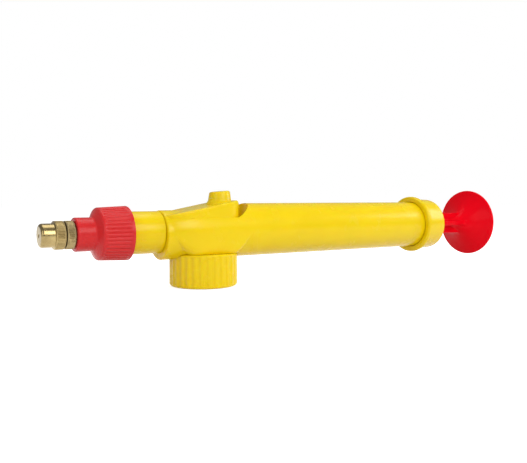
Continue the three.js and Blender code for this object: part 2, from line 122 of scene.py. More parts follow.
# ---- Surfaces ------------------------------------------------------------------------------
def soft_max(a: np.ndarray, b: np.ndarray, blend: float) -> np.ndarray:
    """Larger of two radii, with the inside corner between them filled by a fillet.

    Formula: the maximum, plus (blend - gap) squared over 4 blend where the gap is below blend.

    Args:
        a: first radius.
        b: second radius.
        blend: how close the two are where the fillet starts.

    Returns:
        The blended radius.
    """
    return np.maximum(a, b) + np.maximum(blend - np.abs(a - b), 0) ** 2 / (4 * blend)


def soft_min(a: np.ndarray, b: np.ndarray, blend: float) -> np.ndarray:
    """Smaller of two radii, with the edge between them rounded: the mirror of soft_max.

    Args:
        a: first radius.
        b: second radius.
        blend: how close the two are where the rounding starts.

    Returns:
        The blended radius.
    """
    return np.minimum(a, b) - np.maximum(blend - np.abs(a - b), 0) ** 2 / (4 * blend)


def ramp(value: np.ndarray, start: float, end: float) -> np.ndarray:
    """Smooth step from 0 at start to 1 at end: 3t squared minus 2t cubed.

    Args:
        value: where it is read.
        start: value at which it leaves 0.
        end: value at which it reaches 1.

    Returns:
        The step, from 0 to 1.
    """
    t = np.clip((value - start) / (end - start), 0, 1)
    return t * t * (3 - 2 * t)


def rounded(corners: Sequence[Corner], closed: bool = False, steps: int = 6) -> np.ndarray:
    """Profile of straight runs with an arc in place of each corner.

    Formula: the arc touches both runs at radius over the tangent of half the corner's angle,
    and its centre lies on the corner's bisector.

    Args:
        corners: (radius from the axis, height, corner rounding) of each corner.
        closed: whether the last corner runs back to the first.
        steps: pieces in each arc.

    Returns:
        Points (radius from the axis, height), one row each.
    """
    count = len(corners)
    points: list[np.ndarray] = []
    for i, (r, h, rounding) in enumerate(corners):
        here = np.array([r, h], float)
        if rounding <= 0 or (not closed and i in (0, count - 1)):
            points.append(here[None])
            continue
        before = np.array(corners[i - 1][:2], float) - here
        after = np.array(corners[(i + 1) % count][:2], float) - here
        before /= np.linalg.norm(before)
        after /= np.linalg.norm(after)
        half = math.acos(float(np.clip(before @ after, -1, 1))) / 2
        centre = here + (before + after) / np.linalg.norm(before + after) * rounding / math.sin(half)
        start = here + before * rounding / math.tan(half) - centre
        end = here + after * rounding / math.tan(half) - centre
        sweep = math.atan2(start[0] * end[1] - start[1] * end[0], float(start @ end))
        angle = np.linspace(0, sweep, steps + 1)
        turn = np.stack([np.cos(angle), np.sin(angle)], -1)
        side = np.array([-start[1], start[0]])
        points.append(centre + turn[:, :1] * start + turn[:, 1:] * side)
    return np.concatenate(points)


def dense(profile: np.ndarray, spacing: float, closed: bool = False) -> np.ndarray:
    """Profile with points added so that no run is much longer than the spacing.

    A new point that falls within a third of the spacing of an old one is left out.

    Args:
        profile: points (radius, height).
        spacing: longest run.
        closed: whether the last point runs back to the first.

    Returns:
        The denser profile, with every point of the first one kept.
    """
    loop = np.vstack([profile, profile[:1]]) if closed else profile
    length = np.concatenate([[0], np.cumsum(np.linalg.norm(np.diff(loop, axis=0), axis=1))])
    extra = np.arange(0, length[-1], spacing)
    gap = np.abs(extra[:, None] - length[None]).min(1)
    where = np.sort(np.concatenate([length, extra[gap > spacing / 3]]))
    if closed:
        where = where[:-1]
    return np.stack([np.interp(where, length, loop[:, 0]), np.interp(where, length, loop[:, 1])], -1)


def polar_surface(name: str, radius: np.ndarray, along: np.ndarray, angle: np.ndarray,
                  axis: Axis = Axis.PUMP, closed: bool = False) -> bpy.types.Object:
    """Closed surface of rings about an axis, from a grid of rows along it and angles round it.

    Formula: about the pump's axis a point is (along, radius sin angle, radius cos angle), and
    about an upright axis it is (radius cos angle, radius sin angle, along).

    Args:
        name: the piece's name.
        radius: distance from the axis, rows by angles.
        along: place along the axis, rows by angles or rows by one.
        angle: the angles, one row.
        axis: the axis that the rings are round.
        closed: whether the last ring joins the first, as in a tube; otherwise both ends meet the axis.

    Returns:
        The object, in metres, with shared vertices merged and its faces pointing out.
    """
    radius, along, angle = np.broadcast_arrays(radius, along, angle)
    if axis is Axis.PUMP:
        points = np.stack([along, radius * np.sin(angle), LAYOUT.axis_z + radius * np.cos(angle)], -1)
    else:
        offset = LAYOUT.valve_x if axis is Axis.VALVE else 0.0
        points = np.stack([offset + radius * np.cos(angle), radius * np.sin(angle), along], -1)
    return grid_object(name, points, closed)


def grid_object(name: str, points: np.ndarray, closed_rows: bool) -> bpy.types.Object:
    """Mesh object from a grid of points whose columns close on themselves.

    Args:
        name: the piece's name.
        points: rows by columns by three, in millimetres from the cap's axis.
        closed_rows: whether the last row joins the first.

    Returns:
        The object, linked to the scene.
    """
    rows, columns = points.shape[:2]
    index = np.arange(rows * columns).reshape(rows, columns)
    right = np.roll(index, -1, axis=1)
    below = np.roll(index, -1, axis=0)
    diagonal = np.roll(right, -1, axis=0)
    faces = np.stack([index, right, diagonal, below], -1)
    faces = (faces if closed_rows else faces[:-1]).reshape(-1, 4)
    metres = points.reshape(-1, 3) * MM + np.array([LAYOUT.cap_x, 0, 0])
    mesh = bpy.data.meshes.new(name)
    mesh.from_pydata(metres.tolist(), [], faces.tolist())
    shape = bmesh.new()
    shape.from_mesh(mesh)
    bmesh.ops.remove_doubles(shape, verts=shape.verts, dist=MERGE_DISTANCE)
    bmesh.ops.recalc_face_normals(shape, faces=shape.faces)
    shape.to_mesh(mesh)
    shape.free()
    piece = bpy.data.objects.new(name, mesh)
    bpy.context.scene.collection.objects.link(piece)
    return piece


def full_turn(count: int) -> np.ndarray:
    """Angles once round, in radians, without the last one repeated."""
    return np.linspace(0, 2 * math.pi, count, endpoint=False)[None]


def turned(name: str, corners: Sequence[Corner], axis: Axis = Axis.PUMP, closed: bool = False,
           facets: int = 128) -> bpy.types.Object:
    """Plain turned piece: a rounded profile carried once round an axis.

    Args:
        name: the piece's name.
        corners: (radius, height, rounding) of each corner of the profile.
        axis: the axis that it is round.
        closed: whether the profile is a loop, as a ring's is.
        facets: columns round the piece.

    Returns:
        The object.
    """
    profile = rounded(corners, closed)
    return polar_surface(name, profile[:, :1], profile[:, 1:], full_turn(facets), axis, closed)


def ring_corners(inner: float, outer: float, start: float, end: float, edge: float) -> list[Corner]:
    """Corners of a ring with a rectangular section, all rounded alike.

    Args:
        inner: inside radius.
        outer: outside radius.
        start: one end along the axis.
        end: the other end.
        edge: rounding of the four corners.

    Returns:
        The corners, in order round the section.
    """
    return [(inner, start, edge), (outer, start, edge), (outer, end, edge), (inner, end, edge)]


def torus(name: str, radius: float, section: float, along: float, sides: int = 20,
          facets: int = 96) -> bpy.types.Object:
    """Round-section ring: a circle of the section's radius carried round the pump's axis.

    Args:
        name: the piece's name.
        radius: from the axis to the middle of the section.
        section: radius of the section.
        along: place along the axis.
        sides: columns round the section.
        facets: columns round the axis.

    Returns:
        The object.
    """
    turn = full_turn(sides).T
    return polar_surface(name, radius + section * np.cos(turn), along + section * np.sin(turn),
                         full_turn(facets), closed=True)


def ball(name: str, radius: float, centre_z: float, axis: Axis, rings: int = 33,
         facets: int = 64) -> bpy.types.Object:
    """Ball on an upright axis: half a circle carried round it.

    Args:
        name: the piece's name.
        radius: the ball's radius.
        centre_z: height of its centre.
        axis: the upright axis.
        rings: rows from pole to pole.
        facets: columns round it.

    Returns:
        The object.
    """
    tilt = np.linspace(-math.pi / 2, math.pi / 2, rings)[:, None]
    reach = radius * np.cos(tilt)
    reach[[0, -1]] = 0
    return polar_surface(name, reach, centre_z + radius * np.sin(tilt), full_turn(facets), axis)


def coil(name: str, radius: float, wire: float, start: float, end: float, turns: int,
         steps: int = 40, sides: int = 12) -> bpy.types.Object:
    """Compression spring on the valve's axis: a wire's circle carried up a helix.

    Formula: the helix is (R cos t, R sin t, start + rise t), and the wire's circle lies across it,
    spanned by the line from the axis and the line square to that and to the helix.

    Args:
        name: the piece's name.
        radius: of the helix.
        wire: radius of the wire.
        start: height of the first turn.
        end: height of the last turn.
        turns: number of turns.
        steps: rows in each turn.
        sides: columns round the wire.

    Returns:
        The object.
    """
    t = np.linspace(0, 2 * math.pi * turns, steps * turns + 1)
    out = np.stack([np.cos(t), np.sin(t), 0 * t], -1)
    rise = (end - start) / t[-1]
    tangent = np.stack([-radius * np.sin(t), radius * np.cos(t), rise + 0 * t], -1)
    tangent /= np.linalg.norm(tangent, axis=1, keepdims=True)
    up = np.cross(out, tangent)
    middle = np.stack([LAYOUT.valve_x + radius * np.cos(t), radius * np.sin(t), start + rise * t], -1)
    around = full_turn(sides)[:, :, None]
    section = wire * np.concatenate([[0], np.ones(len(t)), [0]])
    middle, out, up = (np.concatenate([v[:1], v, v[-1:]]) for v in (middle, out, up))
    circle = np.cos(around) * out[:, None] + np.sin(around) * up[:, None]
    points = middle[:, None] + section[:, None, None] * circle
    return grid_object(name, points, closed_rows=False)


# ---- Finishes ------------------------------------------------------------------------------
class NodeBench:
    """Short hand for building one material's nodes."""

    def __init__(self, name: str) -> None:
        """Makes the material, with its shader ready.

        Args:
            name: the material's name.
        """
        self.material = bpy.data.materials.new(name)
        self.material.use_nodes = True
        self.tree = self.material.node_tree
        self.shader = self.tree.nodes["Principled BSDF"]
        self.place = self.node("ShaderNodeTexCoord").outputs["Object"]

    def node(self, kind: str, **values: float) -> bpy.types.Node:
        """Adds a node and sets its inputs by name.

        Args:
            kind: Blender's name for the node.
            values: input name, with _ for a space, and its value.

        Returns:
            The node.
        """
        made = self.tree.nodes.new(kind)
        for key, value in values.items():
            made.inputs[key.replace("_", " ")].default_value = value
        return made

    def link(self, output: bpy.types.NodeSocket, socket: bpy.types.NodeSocket) -> None:
        """Joins an output to an input."""
        self.tree.links.new(output, socket)

    def noise(self, scale: float, detail: float,
              stretch: Sequence[float] = (1, 1, 1)) -> bpy.types.NodeSocket:
        """Noise on the piece's own coordinates.

        Args:
            scale: grains in a metre.
            detail: octaves.
            stretch: factor along each axis, below 1 for streaks along it.

        Returns:
            The noise, about 0.5.
        """
        mapping = self.node("ShaderNodeMapping")
        mapping.inputs["Scale"].default_value = stretch
        self.link(self.place, mapping.inputs["Vector"])
        noise = self.node("ShaderNodeTexNoise", Scale=scale, Detail=detail)
        self.link(mapping.outputs["Vector"], noise.inputs["Vector"])
        return noise.outputs["Fac"]

    def spread(self, source: bpy.types.NodeSocket, low: float, high: float) -> bpy.types.NodeSocket:
        """Maps the noise's usual span onto low to high.

        Args:
            source: the noise.
            low: value at the start of the span.
            high: value at its end.

        Returns:
            The mapped value.
        """
        start, end = NOISE_SPAN
        span = self.node("ShaderNodeMapRange", From_Min=start, From_Max=end, To_Min=low, To_Max=high)
        self.link(source, span.inputs["Value"])
        return span.outputs["Result"]

    def colour(self, source: bpy.types.NodeSocket, dark: Sequence[float], light: Sequence[float]) -> None:
        """Colours the piece between two shades.

        Args:
            source: the noise, whose usual span runs from dark to light.
            dark: linear colour.
            light: linear colour.
        """
        ramp_node = self.node("ShaderNodeValToRGB")
        for element, place, shade in zip(ramp_node.color_ramp.elements, NOISE_SPAN, (dark, light)):
            element.position = place
            element.color = (*shade, 1)
        self.link(source, ramp_node.inputs["Fac"])
        self.link(ramp_node.outputs["Color"], self.shader.inputs["Base Color"])

    def bump(self, source: bpy.types.NodeSocket, height: float, strength: float) -> None:
        """Roughens the surface.

        Args:
            source: the height pattern, 0 to 1.
            height: its depth in metres.
            strength: share of it that shows.
        """
        bump = self.node("ShaderNodeBump", Distance=height, Strength=strength)
        self.link(source, bump.inputs["Height"])
        self.link(bump.outputs["Normal"], self.shader.inputs["Normal"])


@dataclass(frozen=True)
class MouldedPlastic:
    """Moulded plastic: clouded a little in colour, with the faint waviness of a polished mould."""

    name: str
    colour: tuple[float, float, float]
    shade: float = 0.94
    gloss: tuple[float, float] = (0.2, 0.3)
    glow: float = 0.0
    reflection: float = 0.25
    refraction: float = 1.46
    glow_reach: tuple[float, float, float] = (1.0, 0.45, 0.1)
    glow_depth: float = 0.0015
    cloud_grains: float = 45
    gloss_grains: float = 120
    wave_grains: float = 160
    wave_height: float = 0.00003
    wave_share: float = 0.5

    def build(self) -> bpy.types.Material:
        """Makes the material.

        Returns:
            The material.
        """
        bench = NodeBench(self.name)
        dark = tuple(c * self.shade for c in self.colour)
        bench.colour(bench.noise(self.cloud_grains, 4), dark, self.colour)
        roughness = bench.spread(bench.noise(self.gloss_grains, 5), *self.gloss)
        bench.link(roughness, bench.shader.inputs["Roughness"])
        bench.shader.inputs["IOR"].default_value = self.refraction
        bench.shader.inputs["Specular IOR Level"].default_value = self.reflection
        bench.shader.inputs["Subsurface Weight"].default_value = self.glow
        bench.shader.inputs["Subsurface Radius"].default_value = self.glow_reach
        bench.shader.inputs["Subsurface Scale"].default_value = self.glow_depth
        bench.bump(bench.noise(self.wave_grains, 2), self.wave_height, self.wave_share)
        return bench.material


@dataclass(frozen=True)
class TurnedMetal:
    """Metal off the lathe: fine rings round the pump's axis, a little tarnish in patches.

    matt_end is the roughness that is added on the turning tip's knurl.
    """

    name: str
    colour: tuple[float, float, float]
    tarnish: tuple[float, float, float]
    gloss: tuple[float, float]
    matt_end: float = 0.0
    matt_blend: float = 0.3
    patch_grains: float = 260
    gloss_grains: float = 500
    ring_grains: float = 900
    ring_stretch: tuple[float, float, float] = (4, 0.15, 0.15)
    ring_height: float = 0.000012
    ring_share: float = 0.6

    def build(self) -> bpy.types.Material:
        """Makes the material.

        Returns:
            The material.
        """
        bench = NodeBench(self.name)
        bench.colour(bench.noise(self.patch_grains, 5), self.tarnish, self.colour)
        roughness = bench.spread(bench.noise(self.gloss_grains, 4), *self.gloss)
        if self.matt_end:
            roughness = self.matter_behind(bench, roughness)
        bench.link(roughness, bench.shader.inputs["Roughness"])
        bench.shader.inputs["Metallic"].default_value = 1.0
        rings = bench.noise(self.ring_grains, 3, self.ring_stretch)
        bench.bump(rings, self.ring_height, self.ring_share)
        return bench.material

    def matter_behind(self, bench: NodeBench, roughness: bpy.types.NodeSocket) -> bpy.types.NodeSocket:
        """Makes the metal matter behind the knurl's shoulder, where the tool left a coarser face.

        Args:
            bench: the material's nodes.
            roughness: roughness of the smooth stretch.

        Returns:
            The roughness with the step added.
        """
        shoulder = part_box("nozzle_tip")[1].x - KNURL_LENGTH * MM
        parts = bench.node("ShaderNodeSeparateXYZ")
        bench.link(bench.place, parts.inputs["Vector"])
        step = bench.node("ShaderNodeMapRange", From_Min=shoulder,
                          From_Max=shoulder + self.matt_blend * MM, To_Max=self.matt_end)
        bench.link(parts.outputs["X"], step.inputs["Value"])
        total = bench.tree.nodes.new("ShaderNodeMath")
        bench.link(roughness, total.inputs[0])
        bench.link(step.outputs["Result"], total.inputs[1])
        return total.outputs[0]


@dataclass(frozen=True)
class BlackRubber:
    """Seal rubber: nearly black, matt, with a fine grain."""

    name: str
    colour: tuple[float, float, float]
    shade: float = 0.7
    gloss: tuple[float, float] = (0.6, 0.8)
    cloud_grains: float = 300
    gloss_grains: float = 800
    grains: float = 2600
    grain_height: float = 0.00002
    grain_share: float = 0.7

    def build(self) -> bpy.types.Material:
        """Makes the material.

        Returns:
            The material.
        """
        bench = NodeBench(self.name)
        dark = tuple(c * self.shade for c in self.colour)
        bench.colour(bench.noise(self.cloud_grains, 4), dark, self.colour)
        roughness = bench.spread(bench.noise(self.gloss_grains, 3), *self.gloss)
        bench.link(roughness, bench.shader.inputs["Roughness"])
        bench.bump(bench.noise(self.grains, 2), self.grain_height, self.grain_share)
        return bench.material


class Slot(Enum):
    """The record's material slots, with the finish of each."""

    YELLOW = ("yellow_plastic", MouldedPlastic("yellow plastic", (0.87, 0.628, 0.002), glow=0.25))
    RED = ("red_plastic", MouldedPlastic("red plastic", (0.66, 0.025, 0.027), glow=0.15, reflection=0.2))
    HANDLE = ("handle_red", MouldedPlastic("handle red plastic", (0.86, 0.002, 0.011),
                                           gloss=(0.1, 0.16), reflection=0.05))
    NATURAL = ("natural_plastic", MouldedPlastic("natural plastic", (0.78, 0.77, 0.7), gloss=(0.35, 0.5)))
    BRASS = ("brass", TurnedMetal("turned brass", (0.44, 0.34, 0.15), (0.31, 0.23, 0.1),
                                  gloss=(0.18, 0.3), matt_end=0.28))
    KNURL = ("brass", TurnedMetal("knurled brass", (0.42, 0.33, 0.16), (0.26, 0.2, 0.1),
                                  gloss=(0.4, 0.6)))
    STEEL = ("steel", TurnedMetal("polished steel", (0.55, 0.56, 0.57), (0.46, 0.47, 0.48),
                                  gloss=(0.12, 0.22)))
    RUBBER = ("rubber", BlackRubber("seal rubber", (0.018, 0.018, 0.019)))


MATERIALS: dict[Slot, bpy.types.Material] = {}


def material_of(slot: Slot) -> bpy.types.Material:
    """Gives a finish's material, which is made the first time that it is asked for.

    Args:
        slot: the finish.

    Returns:
        The material.
    """
    if slot not in MATERIALS:
        MATERIALS[slot] = slot.value[1].build()
    return MATERIALS[slot]


def fit(piece: bpy.types.Object, slot: Slot, body: str, *nodes: str,
        sharp: float = 40.0) -> None:
    """Dresses a finished piece and ties it to the frame.

    Args:
        piece: the object.
        slot: its finish.
        body: the body that it moves with.
        nodes: the nodes that it stands for.
        sharp: angle in degrees above which an edge stays sharp.
    """
    piece.data.materials.clear()
    piece.data.materials.append(material_of(slot))
    piece.data.polygons.foreach_set("use_smooth", np.ones(len(piece.data.polygons), bool))
    piece.data.set_sharp_from_angle(angle=math.radians(sharp))
    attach(piece, body)
    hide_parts(*nodes)
    faces = len(piece.data.polygons)
    LOG.info("%s rides on %s and stands for %s, %d faces", piece.name, body, nodes, faces)


def boolean(piece: bpy.types.Object, tools: Sequence[bpy.types.Object], operation: str) -> None:
    """Joins tools to a piece or cuts them from it, one after another, and removes them.

    Args:
        piece: the piece that stays.
        tools: closed solids.
        operation: UNION or DIFFERENCE.
    """
    for tool in tools:
        step = piece.modifiers.new(tool.name, "BOOLEAN")
        step.operation = operation
        step.solver = "EXACT"
        step.object = tool
    evaluated = piece.evaluated_get(bpy.context.evaluated_depsgraph_get())
    shape = bpy.data.meshes.new_from_object(evaluated)
    piece.modifiers.clear()
    piece.data = shape
    for tool in tools:
        bpy.data.objects.remove(tool)


# ---- Housing: body and barrel in one skin --------------------------------------------------
@dataclass
class Housing:
    """The yellow body with its wedge and collar, and the barrel that runs back from it."""

    nose: float = -23.4
    nose_full: float = -8.0
    nose_reach: float = 25.6
    skirt_flat: tuple[float, float] = (-8.0, 10.0)
    skirt_tip: tuple[float, float] = (-21.6, 20.6)
    skirt_depth: float = 13.0
    skirt_rise: float = 5.0
    skirt_square: int = 6
    skirt_curve: float = 1.5
    skirt_draft: float = 0.012
    recess_radius: float = 17.3
    cap_gap: float = 0.12
    neck_radius: float = 9.5
    neck_span: tuple[float, float] = (14.3, 20.0)
    wall: float = 2.0
    chamber: float = 26.5
    collar_radius: float = 12.0
    collar_rear: float = -8.0
    collar_drop: float = 1.5
    socket: float = 8.7
    socket_floor: float = -15.7
    wedge_width: float = 12.0
    wedge_nose: float = 7.6
    wedge_end: float = 18.9
    wedge_edge: float = 1.0
    roof_front: float = 8.0
    roof_knee: float = 15.4
    knee: float = 15.5
    roof_rear: float = 12.9
    ridge_blend: float = 0.9
    pocket_length: float = 15.0
    pocket_width: float = 12.5
    pocket_floor: float = 6.7
    pocket_top: float = 20.0
    boss_side: tuple[Corner, ...] = ((7.2, 34, 0), (7.0, 41, 0), (5.9, 42.7, 1.2))
    plug_radius: float = 5.75
    plug_head: float = 4.0
    plug_slope: float = 0.085
    plug_gap: float = 0.03
    inlet_bore: float = 6.3
    ball_chamber: float = 4.6
    valve_hole: float = 1.9
    plug_bore: float = 4.0
    seal_bore: float = 5.3
    gallery: float = 2.2
    channel: float = 1.8
    columns: int = 288

    def girth(self, x: np.ndarray) -> np.ndarray:
        """Radius of the round body, which narrows to the front along a quarter of an ellipse.

        Formula: the barrel's radius times the root of 1 less the square of the share of the reach
        that lies in front of nose_full.

        Args:
            x: places along the pump.

        Returns:
            The radii.
        """
        low, high = LAYOUT.rise("barrel")
        share = np.maximum(self.nose_full - x, 0) / self.nose_reach
        return (high - low) / 2 * np.sqrt(1 - share ** 2)

    def skirt(self) -> bpy.types.Object:
        """Block that carries the body's sides straight down to the cap, with rounded corners.

        Formula: across the pump it is a superellipse of the power skirt_square, as wide as the
        body and as deep as skirt_depth (1 - s ** c) ** (1 / c), where c is skirt_curve and s is the
        share of the way from the flat stretch to either tip. Above the pump's axis it is narrower
        by the share skirt_draft times the square of the height.

        Returns:
            The skirt, with its upper half inside the body.
        """
        (start, end), (tip_front, tip_rear) = self.skirt_flat, self.skirt_tip
        turn = np.linspace(0, math.pi / 2, 28)
        front_end = tip_front + (start - tip_front) * (1 - np.cos(turn))
        flat = np.linspace(start, end, 12)[1:-1]
        rear_end = end + (tip_rear - end) * np.sin(turn)
        x = np.concatenate([front_end, flat, rear_end])[:, None]
        share = np.maximum((start - x) / (start - tip_front), (x - end) / (tip_rear - end)).clip(0, 1)
        depth = self.skirt_depth * (1 - share ** self.skirt_curve) ** (1 / self.skirt_curve)
        angle = full_turn(160)
        power = self.skirt_square
        round_off = (np.abs(np.cos(angle)) ** power + np.abs(np.sin(angle)) ** power) ** (-1 / power)
        proud = 0.01  # keeps the skirt's sides off the body's, so that the two join cleanly
        across = (self.girth(x) + proud) * round_off * np.sin(angle)
        rise = round_off * np.cos(angle)
        rise = np.where(rise > 0, rise * np.minimum(depth, self.skirt_rise), rise * depth)
        across = across * np.where(rise > 0, 1 - self.skirt_draft * rise ** 2, 1)
        points = np.stack(np.broadcast_arrays(x, across, LAYOUT.axis_z + rise), -1)
        return grid_object("skirt", points, closed_rows=False)

    def roof(self, x: np.ndarray) -> np.ndarray:
        """Height of the wedge's roof.

        Formula: the lower of two straight slopes, one rising to the knee and one falling behind it,
        with the ridge between them rounded.

        Args:
            x: places along the pump.

        Returns:
            The heights above the cap's mouth.
        """
        front = LAYOUT.span("pump_body")[0]
        slope = (self.roof_knee - self.roof_front) / (self.knee - front)
        fall = (self.roof_knee - self.roof_rear) / (self.wedge_end - self.knee)
        rising = self.roof_front + (x - front) * slope
        falling = self.roof_knee + (self.knee - x) * fall
        return LAYOUT.axis_z + soft_min(rising, falling, self.ridge_blend)

    def wedge(self) -> bpy.types.Object:
        """Block with upright walls, a rounded top edge and the sloping roof.

        Formula: the outline seen from above is carried up as the wall. It then moves in along its
        normal by edge (1 - cos t) while it rises by edge sin t, and the roof runs from there to the
        middle line.

        Returns:
            The wedge, with its foot inside the body.
        """
        front = LAYOUT.span("pump_body")[0] + 0.5
        end, width = self.wedge_end, self.wedge_width
        outline = [
            (front, 0, 0), (front, -self.wedge_nose, 1.5), (front + 3.4, -9.9, 4),
            (-15, -11.4, 8), (-7, -width, 8), (end, -width, 11.98), (end, 0, 0),
        ]
        half = dense(rounded(outline, steps=24), 0.8)
        plan = np.concatenate([half, half[-2:0:-1] * [1, -1]])
        run = np.roll(plan, -1, axis=0) - np.roll(plan, 1, axis=0)
        run /= np.linalg.norm(run, axis=1, keepdims=True)
        inward = np.stack([-run[:, 1], run[:, 0]], -1)
        spine = np.stack([np.clip(plan[:, 0], front + 2, end - 2), 0 * plan[:, 0]], -1)
        foot = LAYOUT.axis_z + 3.0
        edge = self.wedge_edge
        rows = [(spine, foot + 0 * spine[:, 0]), (plan, foot + 0 * spine[:, 0])]
        for share in np.linspace(0.15, 1, 7):
            rows.append((plan, foot + (self.roof(plan[:, 0]) - edge - foot) * share))
        for turn in np.linspace(0, math.pi / 2, 8)[1:]:
            ring = plan + inward * edge * (1 - math.cos(turn))
            rows.append((ring, self.roof(ring[:, 0]) - edge * (1 - math.sin(turn))))
        inner = plan + inward * edge
        for share in np.linspace(0, 1, 8)[1:]:
            ring = inner + (spine - inner) * share
            rows.append((ring, self.roof(ring[:, 0])))
        points = np.stack([np.concatenate([ring, height[:, None]], -1) for ring, height in rows])
        return grid_object("wedge", points, closed_rows=False)

    def pocket(self) -> bpy.types.Object:
        """Solid that lowers the body around the wedge and opens the oval gap behind it.

        Formula: straight sides from the front to the valve's axis, then half an ellipse about it,
        carried straight up from the pocket's floor.

        Returns:
            The solid.
        """
        front = LAYOUT.span("pump_body")[0] - 1
        turn = np.linspace(-math.pi / 2, math.pi / 2, 97)
        arc_x = LAYOUT.valve_x + self.pocket_length * np.cos(turn)
        arc = np.stack([arc_x, self.pocket_width * np.sin(turn)], -1)
        plan = np.concatenate([[[front, -self.pocket_width]], arc, [[front, self.pocket_width]]])
        floor, top = LAYOUT.axis_z + self.pocket_floor, LAYOUT.axis_z + self.pocket_top
        middle = np.broadcast_to([LAYOUT.valve_x, 0.0], plan.shape)
        rings = np.stack([middle, plan, plan, middle])
        levels = np.array([floor, floor, top, top])[:, None, None]
        heights = np.broadcast_to(levels, (*rings.shape[:2], 1))
        return grid_object("pocket", np.concatenate([rings, heights], -1), closed_rows=False)

    def shell(self) -> bpy.types.Object:
        """Builds the body and barrel, and cuts them for the cap, the pipe, the valves and the water.

        Returns:
            The shell.
        """
        front = LAYOUT.span("pump_body")[0]
        rear = LAYOUT.span("barrel")[1]
        outside = float(self.girth(rear))
        bore = outside - self.wall
        nose_x = np.linspace(self.nose, self.nose_full, 24)
        nose = np.stack([self.girth(nose_x), nose_x], -1)
        back = rounded([(outside, self.nose_full, 0), (outside, rear, 0.4), (bore, rear, 0.3),
                        (bore, self.chamber, 0.5), (0, self.chamber, 0)], steps=12)
        profile = dense(np.concatenate([[[0, self.nose]], nose[:-1], back]), 1.6)
        shell = polar_surface("housing", profile[:, :1], profile[:, 1:], full_turn(self.columns))
        collar = turned("collar", [
            (0, front, 0), (self.collar_radius, front, 0.7),
            (self.collar_radius, self.collar_rear, 0), (0, self.collar_rear, 0),
        ], facets=224)
        collar.data.transform(Matrix.Translation((0, 0, -self.collar_drop * MM)))
        boolean(shell, [self.pocket()], "DIFFERENCE")
        foot = self.boss_side[0][1]
        top = LAYOUT.rise("valve_plug")[1] - self.plug_head - self.plug_gap
        boss = turned("boss", [
            (0, foot, 0), *self.boss_side, (self.plug_radius, top, 0), (0, top, 0),
        ], Axis.VALVE, facets=96)
        boolean(shell, [self.skirt(), collar, self.wedge(), boss], "UNION")
        below = -5.0  # clear of the cap's mouth
        face = LAYOUT.rise("bottle_cap")[1] + self.cap_gap
        recess = turned("recess", [
            (0, below, 0), (self.recess_radius, below, 0), (self.recess_radius, face, 0), (0, face, 0),
        ], Axis.CAP)
        boolean(shell, [recess], "DIFFERENCE")
        bottom, inside = self.neck_span
        neck = turned("neck", [
            (0, bottom, 0), (self.neck_radius, bottom, 0.3),
            (self.neck_radius, inside, 0), (0, inside, 0),
        ], Axis.CAP, facets=96)
        boolean(shell, [neck], "UNION")
        socket = turned("socket", [
            (0, front - 1, 0), (self.socket, front - 1, 0),
            (self.socket, self.socket_floor, 0), (0, self.socket_floor, 0),
        ], facets=96)
        boolean(shell, [socket, *self.water_ways()], "DIFFERENCE")
        return shell

    def water_ways(self) -> list[bpy.types.Object]:
        """Solids that open the inlet bore, the ball chambers, the gallery and the outlet channel.

        Returns:
            The solids.
        """
        mouth = 12.0  # below the neck
        step = LAYOUT.rise("inlet_seat")[1] + 0.3
        roof = LAYOUT.rise("inlet_ball")[1] + 2.1
        level = LAYOUT.rise("inlet_seat")[1] + 6
        outlet = LAYOUT.rise("outlet_ball")[0] - 0.8
        flat = LAYOUT.rise("valve_plug_seal")[0] - 0.1
        above = 50.0  # clear of the boss
        return [
            turned("inlet_bore", [
                (0, mouth, 0), (self.inlet_bore, mouth, 0), (self.inlet_bore, step, 0),
                (self.ball_chamber, step, 0), (self.ball_chamber, roof, 0), (0, roof, 0),
            ], Axis.CAP, facets=48),
            turned("valve_bore", [
                (0, level, 0), (self.valve_hole, level, 0), (self.valve_hole, outlet, 0),
                (self.plug_bore, outlet, 0), (self.plug_bore, flat, 0), (self.seal_bore, flat, 0),
                (self.seal_bore, above, 0), (0, above, 0),
            ], Axis.VALVE, facets=64),
            self.passage("gallery", (0.5, level), (self.chamber + 1, level), self.gallery),
            self.passage("channel", (LAYOUT.valve_x, outlet + 5),
                         (self.socket_floor - 0.3, LAYOUT.axis_z + 1), self.channel),
        ]

    def passage(self, name: str, start: tuple[float, float], end: tuple[float, float],
                radius: float) -> bpy.types.Object:
        """Straight round passage in the pump's middle plane.

        Formula: circles across the line from start to end, closed by a point at each end.

        Args:
            name: the solid's name.
            start: (x, z) of one end.
            end: (x, z) of the other end.
            radius: of the passage.

        Returns:
            The solid.
        """
        first, last = np.array(start), np.array(end)
        along = (last - first) / np.linalg.norm(last - first)
        across = np.array([-along[1], along[0]])
        angle = full_turn(32)[0]
        spread = np.array([0, radius, radius, 0])[:, None]
        middle = np.stack([first, first, last, last])[:, None]
        plane = middle + (spread * np.cos(angle))[..., None] * across
        points = np.stack([plane[..., 0], spread * np.sin(angle), plane[..., 1]], -1)
        return grid_object(name, points, closed_rows=False)

    def slope_top(self, plug: bpy.types.Object, head: float, top: float) -> None:
        """Slopes the plug's top with the roof below it, highest at the rear.

        Formula: a point above the head's underside sinks by the slope times its distance from the
        rear edge, in proportion to its height above the underside.

        Args:
            plug: the plug.
            head: height of the head's underside.
            top: height of its top.
        """
        points = np.empty(3 * len(plug.data.vertices))
        plug.data.vertices.foreach_get("co", points)
        points = points.reshape(-1, 3)
        rear = LAYOUT.cap_x + (LAYOUT.valve_x + self.plug_radius) * MM
        share = ((points[:, 2] / MM - head) / (top - head)).clip(0, 1)
        points[:, 2] -= self.plug_slope * (rear - points[:, 0]) * share
        plug.data.vertices.foreach_set("co", points.ravel())

